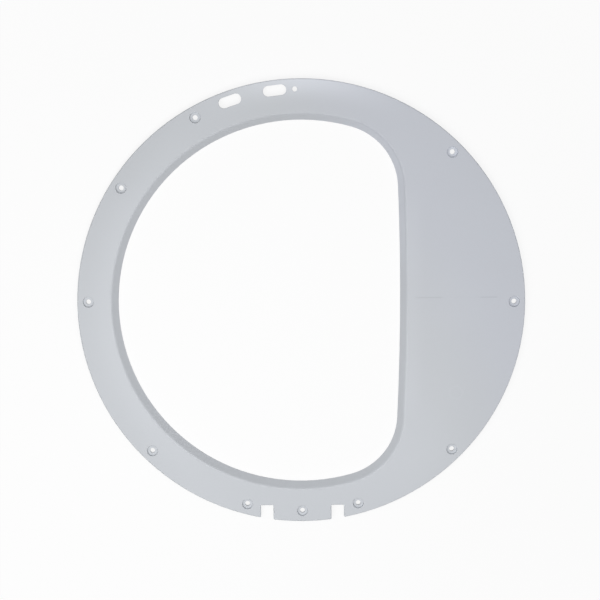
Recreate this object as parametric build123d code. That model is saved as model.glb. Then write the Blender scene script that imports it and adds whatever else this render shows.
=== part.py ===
from build123d import *
import math
import os

# Dryer inner door ring: one plastic moulding, lying face up on the edge of its window lip.
# Millimetres. The ring's middle is on the Z axis, the wide side is at +X, the notched edge at -Y.

# Plate
outer_dia = 448.0
wall = 2.5
edge_round = 1.0
back_round = 0.4

# Window: a round opening cut short by a slightly bowed side, measured where the face folds
rim_width = 34.1
wide_side = 118.2
window_corner = 70.3
window_bow = 2750.0

# Lip that turns back from the face all round the window
lip_depth = 9.0
lip_run = 6.9
bend_round = 0.5
lip_edge_round = 0.5

# Screw wells, all at one distance from the outer edge: a tapered cup with a flat seat and a hole
screw_edge_gap = 11.0
well_angles = (0.5, 45.25, 119, 146.5, 179, 224.5, 254.75, 270, 285.5, 315.5)
well_seat_dia = 10.4
well_flare = 0.15
well_depth = 2.4
screw_hole_dia = 5.0
boss_root = 0.8
rim_round = 0.4

# Catch slots and the plain hole beside them, all at one distance from the outer edge
catch_edge_gap = 10.3
slot_angles = (96.7, 108.8)
slot_length = 23.0
slot_width = 10.4
plain_hole_angle = 91.4
plain_hole_dia = 5.0

# Hinge notches in the lower edge, with a tab between them
notch_offset = 36.0
notch_width = 12.8
notch_depth = 17.0
notch_root = 0.8
notch_corner = 1.2

outer_radius = outer_dia / 2
face_z = lip_depth
back_z = face_z - wall
lip_wall = wall / math.cos(math.atan2(lip_run, lip_depth))
shoulder_round = bend_round + wall


def window_face(inset, height):
    """The window's outline moved inwards by inset, as a face at the given height."""
    main = outer_radius - rim_width - inset
    side = outer_radius - wide_side - inset
    corner = window_corner - inset
    bow = window_bow - inset
    bow_centre = Vector(side - bow, 0)
    # The corner arc touches the round part and the bowed side from inside.
    reach = main - corner
    corner_x = (reach**2 - (bow - corner) ** 2 + bow_centre.X**2) / (2 * bow_centre.X)
    corner_centre = Vector(corner_x, math.sqrt(reach**2 - corner_x**2))
    to_bow = (corner_centre - bow_centre).normalized()
    to_main = corner_centre.normalized()
    bow_end = corner_centre + to_bow * corner
    corner_middle = corner_centre + (to_bow + to_main).normalized() * corner
    main_end = corner_centre + to_main * corner

    def below(point):
        return Vector(point.X, -point.Y)

    outline = [
        ThreePointArc(below(bow_end), (side, 0), bow_end),
        ThreePointArc(bow_end, corner_middle, main_end),
        ThreePointArc(main_end, (-main, 0), below(main_end)),
        ThreePointArc(below(main_end), below(corner_middle), below(bow_end)),
    ]
    return Pos(0, 0, height) * make_face(outline)


def funnel(grow):
    """The tapered space inside the lip, made larger all round by grow."""
    return loft([window_face(lip_run - grow, 0), window_face(-grow, face_z)], ruled=True)


def plate_outline():
    """Round plate with the two hinge notches and the tab between them."""
    roof = notch_depth - outer_radius
    outline = Circle(outer_radius)
    notch = Rectangle(notch_width, 2 * notch_depth, align=(Align.CENTER, Align.MAX))
    notch = fillet(notch.vertices().group_by(Axis.Y)[-1], notch_root)
    for side in (-notch_offset, notch_offset):
        outline -= Pos(side, roof) * notch
    mouths = outline.vertices().filter_by(lambda corner: corner.Y < roof - notch_depth / 2)
    return fillet(mouths, notch_corner)


def flats(ring):
    """The ring's flat faces from the lowest up: the lip's edge comes first and the face last."""
    return ring.faces().filter_by(Plane.XY).sort_by(Axis.Z)


def lipped_plate():
    """The plate with its turned-in lip and every long edge rounded."""
    plate = Pos(0, 0, back_z) * extrude(plate_outline(), wall)
    ring = plate + funnel(lip_wall) - funnel(0)
    ring = fillet(flats(ring)[-1].inner_wires()[0].edges(), shoulder_round)
    ring = fillet(flats(ring)[-1].outer_wire().edges(), edge_round)
    ring = fillet(flats(ring)[1].outer_wire().edges(), back_round)
    ring = fillet(flats(ring)[1].inner_wires()[0].edges(), bend_round)
    return fillet(flats(ring)[0].edges(), lip_edge_round)


def inside_edge(angle, gap):
    """Place on the face at a gap from the outer edge, turned so that X points outwards."""
    return Rot(0, 0, angle) * Pos(outer_radius - gap, 0, face_z)


def well_boss():
    """The back of a screw well, hung from the face: a tapered cup that keeps the plate's wall."""
    taper = well_flare / well_depth
    depth = well_depth + wall
    rim_radius = well_seat_dia / 2 + well_flare + wall * math.hypot(1, taper)
    boss = Pos(0, 0, -depth / 2) * Cone(rim_radius - taper * depth, rim_radius, depth)
    return fillet(boss.edges().sort_by(Axis.Z)[0], back_round)


def well_cut():
    """What a screw well takes away: the tapered cup and the clearance hole under it."""
    seat_radius = well_seat_dia / 2
    cup = Pos(0, 0, -well_depth / 2) * Cone(seat_radius, seat_radius + well_flare, well_depth)
    return cup + Cylinder(screw_hole_dia / 2, 3 * (well_depth + wall))


def hole_edges(face):
    """Edges of every opening in a face except the longest, which is the window."""
    openings = face.inner_wires().sort_by(SortBy.LENGTH)[:-1]
    return [edge for opening in openings for edge in opening.edges()]


def door_ring():
    ring = lipped_plate()
    for angle in well_angles:
        ring += inside_edge(angle, screw_edge_gap) * well_boss()
    ring = fillet(hole_edges(flats(ring)[-2]), boss_root)
    for angle in well_angles:
        ring -= inside_edge(angle, screw_edge_gap) * well_cut()

    slot = extrude(SlotOverall(slot_length, slot_width, rotation=90), 2 * wall, both=True)
    for angle in slot_angles:
        ring -= inside_edge(angle, catch_edge_gap) * slot
    ring -= inside_edge(plain_hole_angle, catch_edge_gap) * Cylinder(plain_hole_dia / 2, 3 * wall)
    return fillet(hole_edges(flats(ring)[-1]), rim_round)


os.makedirs("parts", exist_ok=True)
export_step(door_ring(), "parts/door_ring.step")
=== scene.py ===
from math import pi, radians

import bmesh
import bpy
from mathutils import Euler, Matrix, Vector


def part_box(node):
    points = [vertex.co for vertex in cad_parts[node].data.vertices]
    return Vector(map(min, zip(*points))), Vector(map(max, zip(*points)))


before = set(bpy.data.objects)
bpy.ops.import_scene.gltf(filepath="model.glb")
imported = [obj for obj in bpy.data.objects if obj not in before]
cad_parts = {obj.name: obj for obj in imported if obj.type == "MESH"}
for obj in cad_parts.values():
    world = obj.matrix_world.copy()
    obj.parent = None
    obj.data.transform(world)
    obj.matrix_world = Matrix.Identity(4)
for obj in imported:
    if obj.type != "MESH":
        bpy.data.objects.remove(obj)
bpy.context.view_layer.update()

# Door ring: the one piece there is, a ring injection moulded in light grey plastic.
# Its face has a fine satin grain from the mould, and the turned-in lip, the screw wells, the slots
# and the hinge notches are all shapes of the same moulding, so one finish covers it.

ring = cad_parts["door_ring"]
ring_low, ring_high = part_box("door_ring")
ring_radius = (ring_high.x - ring_low.x) / 2
face_height = ring_high.z


class Signal:
    """A shader socket that plain arithmetic works on: each operator adds a Math node beside it."""

    def __init__(self, socket):
        self.socket = socket

    def node(self, kind, settings, sockets, output=0):
        """Adds a node: its settings first, then the values or links of its sockets."""
        tree = self.socket.id_data
        made = tree.nodes.new(kind)
        for name, value in settings.items():
            setattr(made, name, value)
        for name, value in sockets.items():
            if isinstance(value, Signal):
                tree.links.new(value.socket, made.inputs[name])
            else:
                made.inputs[name].default_value = value
        return Signal(made.outputs[output])

    def math(self, operation, *values):
        return self.node("ShaderNodeMath", {"operation": operation}, dict(enumerate(values)))

    def fade(self, start, end):
        """0 up to start and 1 from end on, with a soft step between; start may be the larger."""
        steps = {"Value": self, "From Min": start, "From Max": end}
        return self.node("ShaderNodeMapRange", {"interpolation_type": "SMOOTHSTEP"}, steps)

    def __add__(self, other):
        return self.math("ADD", self, other)

    def __sub__(self, other):
        return self.math("SUBTRACT", self, other)

    def __rsub__(self, other):
        return self.math("SUBTRACT", other, self)

    def __mul__(self, other):
        return self.math("MULTIPLY", self, other)

    def __pow__(self, other):
        return self.math("POWER", self, other)

    def __abs__(self):
        return self.math("ABSOLUTE", self)

    __radd__ = __add__
    __rmul__ = __mul__


def new_material(name):
    """An empty material with its shader and the position on the piece to work from."""
    material = bpy.data.materials.new(name)
    material.use_nodes = True
    shader = material.node_tree.nodes["Principled BSDF"]
    place = material.node_tree.nodes.new("ShaderNodeTexCoord")
    return material, shader, Signal(place.outputs["Object"])


def satin_grey_plastic():
    """Light grey moulding: satin grain, flow clouds, a knit line, a pin mark and painted light: paler
    slopes, a pool and highlights.
    """
    material, shader, place = new_material("satin_grey_plastic")
    links = material.node_tree.links
    x, y, z = (place.node("ShaderNodeSeparateXYZ", {}, {"Vector": place}, axis) for axis in "XYZ")
    flat = place.node("ShaderNodeCombineXYZ", {}, {"X": x, "Y": y})

    def distance_to(spot):
        """Distance across the face from a spot on it."""
        return flat.node("ShaderNodeVectorMath", {"operation": "DISTANCE"}, {0: flat, 1: spot}, "Value")

    def noise(size, detail, stretch=(1, 1, 1)):
        """Noise about 0 whose blots are about size metres across, drawn out by stretch."""
        drawn = {"Vector": place, "Scale": [1 / (size * s) for s in stretch]}
        spread = place.node("ShaderNodeMapping", {"vector_type": "POINT"}, drawn)
        fine = {"Vector": spread, "Scale": 1.0, "Detail": detail}
        return spread.node("ShaderNodeTexNoise", {}, fine, "Fac") - 0.5

    ring_middle = (0.0, 0.0, 0.0)
    from_edge = ring_radius - distance_to(ring_middle)

    # The lip starts on the rounded fold, just below the face.
    lip_start = 0.0008
    lip_full = 0.0025
    on_lip = (face_height - z).fade(lip_start, lip_full)

    # Painted light: the face is painted paler towards the hinge edge, a slope of light. Also clouds
    # drawn out by the flow, and a finer mottle.
    light_slope_reach = 0.20
    cloud_size = 0.060
    cloud_stretch = (1.6, 1.0, 1.0)
    mottle_size = 0.007
    painted_light_slope = y.fade(light_slope_reach, -light_slope_reach) - 0.5
    clouds = noise(cloud_size, detail=2.0, stretch=cloud_stretch)
    mottle = noise(mottle_size, detail=3.0)

    # Painted light: the narrow side is painted paler from its outer edge to the window.
    narrow_side_start = -0.09
    narrow_side_full = -0.17
    rim_outer = 0.002
    rim_inner = 0.036
    on_narrow_side = x.fade(narrow_side_start, narrow_side_full)
    painted_rim_light = on_narrow_side * (from_edge.fade(rim_outer, rim_inner) - 0.5)

    # Painted highlight: the wide side is painted paler close to its fold, along the straight part of the
    # window.
    fold_x = 0.106
    fold_full = 0.004
    fold_reach = 0.020
    fold_lip_reach = 0.008
    fold_half_length = 0.090
    fold_end_reach = 0.035
    from_fold = x - fold_x
    beside_fold = from_fold.fade(fold_reach, fold_full) * from_fold.fade(-fold_lip_reach, 0.0)
    painted_fold_highlight = beside_fold * abs(y).fade(fold_half_length + fold_end_reach, fold_half_length)

    # Painted light: the face round the window's lower corner is painted paler, a soft pool of light.
    corner_light_place = (0.085, -0.150, 0.0)
    corner_light_full = 0.020
    corner_light_reach = 0.120
    painted_corner_light = distance_to(corner_light_place).fade(corner_light_reach, corner_light_full) * (1.0 - on_lip)

    # Knit line where two streams of melt met, straight across the wide side and faint in the middle.
    knit_y = 0.0064
    knit_half_width = 0.0012
    knit_start = 0.112
    knit_end = 0.198
    knit_faint_start = 0.138
    knit_faint_end = 0.182
    knit_soft = 0.006
    knit_end_soft = 0.004
    knit_faintness = 0.9
    on_knit = x.fade(knit_start, knit_start + knit_soft) * x.fade(knit_end, knit_end - knit_end_soft)
    past_start = x.fade(knit_faint_start, knit_faint_start + knit_soft)
    before_end = x.fade(knit_faint_end, knit_faint_end - knit_soft)
    knit_strength = on_knit * (1.0 - knit_faintness * past_start * before_end)
    knit = abs(y - knit_y).fade(knit_half_width, 0.0) * knit_strength

    # Round witness mark of an ejector pin on the wide side.
    pin_place = (0.1555, -0.0907, 0.0)
    pin_radius = 0.0065
    pin_line = 0.0018
    pin_mark = abs(distance_to(pin_place) - pin_radius).fade(pin_line, 0.0)

    # Painted highlight: a pale glow is painted along the top edge beside the catch slots. The fade along
    # it ends past the middle, so the glow is nowhere quite full.
    top_glow_half_length = 0.115
    top_glow_past_middle = 0.010
    top_glow_reach = 0.034
    catch_half_full = 0.05
    top_glow_place = abs(x).fade(top_glow_half_length, -top_glow_past_middle) * y.fade(0.0, catch_half_full)
    painted_top_glow = top_glow_place * from_edge.fade(top_glow_reach, 0.0) ** 2

    # Painted light: the window's lip is painted paler round its corner on the catch side, as if lit
    # there.
    lip_corner = (0.098, 0.125, 0.0)
    lip_light_full = 0.035
    lip_light_reach = 0.115
    painted_lip_light = on_lip * distance_to(lip_corner).fade(lip_light_reach, lip_light_full)

    # The blue is a little lower all over, least on the wide side towards the catch.
    grey = (0.582, 0.606, 0.663)
    blue_drop_none = 0.200
    blue_drop_full = 0.080
    blue_drop = 0.034 * (x + 0.6 * y).fade(blue_drop_none, blue_drop_full)
    # The tone adds real marks (clouds, mottle, knit line, pin mark) to painted light (slopes, a pool of
    # light and highlights).
    tone = 1.0 + 0.05 * painted_light_slope + 0.035 * clouds + 0.02 * mottle
    tone = tone + 0.07 * painted_rim_light + 0.03 * painted_fold_highlight + 0.045 * painted_corner_light
    tone = tone - 0.09 * knit + 0.02 * pin_mark + 0.28 * painted_top_glow + 0.10 * painted_lip_light
    shade = place.node("ShaderNodeCombineXYZ", {}, {"X": tone, "Y": tone, "Z": tone - blue_drop})
    colour = shade.node("ShaderNodeVectorMath", {"operation": "MULTIPLY"}, {0: shade, 1: grey})
    links.new(colour.socket, shader.inputs["Base Color"])

    # Spark-eroded grain of the mould, a little smoother along the top edge, under the painted glow.
    grain_size = 0.0007
    grain_depth = 0.00012
    satin_roughness = 0.46
    grain = noise(grain_size, detail=2.0)
    roughness = satin_roughness + 0.10 * mottle + 0.06 * grain - 0.08 * painted_top_glow
    links.new(roughness.socket, shader.inputs["Roughness"])
    relief = 0.6 * grain + 0.4 * mottle - 0.5 * knit + 0.4 * pin_mark
    bump = {"Height": relief, "Strength": 0.6, "Distance": grain_depth}
    links.new(place.node("ShaderNodeBump", {}, bump).socket, shader.inputs["Normal"])
    return material


ring.material_slots[0].material = satin_grey_plastic()

# Floor: a seamless sheet of white studio paper that the ring lies on.
# It throws light back as paper does, takes the ring's soft shadow close by, and further off it is
# lit up to plain white.

floor_half = 12.0
paper_white = 0.82
shadow_share = 0.16
shadow_full = 0.26
shadow_end = 0.8


def seen_directly(signal):
    """1 for rays that look straight at a surface, in a mirror or through glass, and 0 for light."""
    path = {name: signal.node("ShaderNodeLightPath", {}, {}, name)
            for name in ("Is Camera Ray", "Is Glossy Ray", "Is Transmission Ray")}
    total = path["Is Camera Ray"] + path["Is Glossy Ray"] + path["Is Transmission Ray"]
    return total.math("MINIMUM", total, 1.0)


floor_mesh = bmesh.new()
bmesh.ops.create_grid(floor_mesh, x_segments=1, y_segments=1, size=floor_half)
floor = bpy.data.objects.new("floor", bpy.data.meshes.new("floor"))
floor_mesh.to_mesh(floor.data)
floor_mesh.free()
bpy.context.scene.collection.objects.link(floor)

floor_paper, floor_shader, floor_place = new_material("floor_paper")
floor_tree = floor_paper.node_tree
floor_seen = seen_directly(floor_place)
floor_tone = paper_white + (1.0 - paper_white) * floor_seen
floor_tree.links.new(floor_tone.socket, floor_shader.inputs["Base Color"])
floor_shader.inputs["Roughness"].default_value = 0.9
floor_shader.inputs["Specular IOR Level"].default_value = 0.0
floor_glow = floor_place.node("ShaderNodeEmission", {}, {"Strength": 1.0})
from_ring = floor_place.node("ShaderNodeVectorMath", {"operation": "LENGTH"}, {0: floor_place}, "Value")
lit_up = 1.0 - shadow_share * from_ring.fade(shadow_end, shadow_full)
floor_parts = {"Fac": lit_up * floor_seen, 1: Signal(floor_shader.outputs["BSDF"]), 2: floor_glow}
floor_surface = floor_place.node("ShaderNodeMixShader", {}, floor_parts)
floor_tree.links.new(floor_surface.socket, floor_tree.nodes["Material Output"].inputs["Surface"])
floor.data.materials.append(floor_paper)

# Light: two round softboxes in a pale room, a large one overhead and a smaller one lower down, between
# the narrow side and the hinge edge. Together they light the face at a plain level, a little weaker
# towards the far corner.

room_level = 0.22
room = bpy.data.worlds.new("room")
bpy.context.scene.world = room
room.use_nodes = True
room_shader = room.node_tree.nodes["Background"]
room_shader.inputs["Color"].default_value = (1.0, 1.0, 1.0, 1.0)
room_start = Signal(room.node_tree.nodes.new("ShaderNodeLightPath").outputs["Is Camera Ray"])
room_strength = room_level + (1.0 - room_level) * seen_directly(room_start)
room.node_tree.links.new(room_strength.socket, room_shader.inputs["Strength"])


def softbox(name, size, place, level):
    """A round soft lamp aimed at the ring's middle, which it lights to the given level."""
    lamp = bpy.data.objects.new(name, bpy.data.lights.new(name, "AREA"))
    lamp.data.shape = "DISK"
    lamp.data.size = size
    lamp.data.energy = level * pi**2 * (place.length_squared + (size / 2) ** 2) * place.length / place.z
    lamp.location = place
    lamp.rotation_euler = place.to_track_quat("Z", "Y").to_euler()
    lamp.visible_camera = False
    bpy.context.scene.collection.objects.link(lamp)


softbox("overhead_softbox", size=1.6, place=Vector((0.0, 0.0, 1.4)), level=0.46)
softbox("low_softbox", size=0.6, place=Vector((-0.29, -0.21, 0.70)), level=0.18)

# Camera: looks down on the ring's face from a little beyond its catch side, a long way off.
# One millimetre at the face is one pixel of the 600 pixel picture.

image_pixels = 600
metres_per_pixel = 0.001
sensor_mm = 36.0
view_tilt = radians(8.5)
view_turn = radians(0.35)
view_distance = 1.5
ring_middle_px = (301.25, 304.63)

camera = bpy.data.objects.new("camera", bpy.data.cameras.new("camera"))
camera.data.sensor_width = sensor_mm
camera.data.lens = sensor_mm * view_distance / (image_pixels * metres_per_pixel)
camera.rotation_euler = Euler((-view_tilt, 0.0, -view_turn))
aim_right = (image_pixels / 2 - ring_middle_px[0]) * metres_per_pixel
aim_up = (ring_middle_px[1] - image_pixels / 2) * metres_per_pixel
camera.location = Vector((0.0, 0.0, face_height))
camera.location += camera.rotation_euler.to_matrix() @ Vector((aim_right, aim_up, view_distance))
bpy.context.scene.collection.objects.link(camera)
bpy.context.scene.camera = camera

bpy.context.scene.view_settings.view_transform = "Standard"
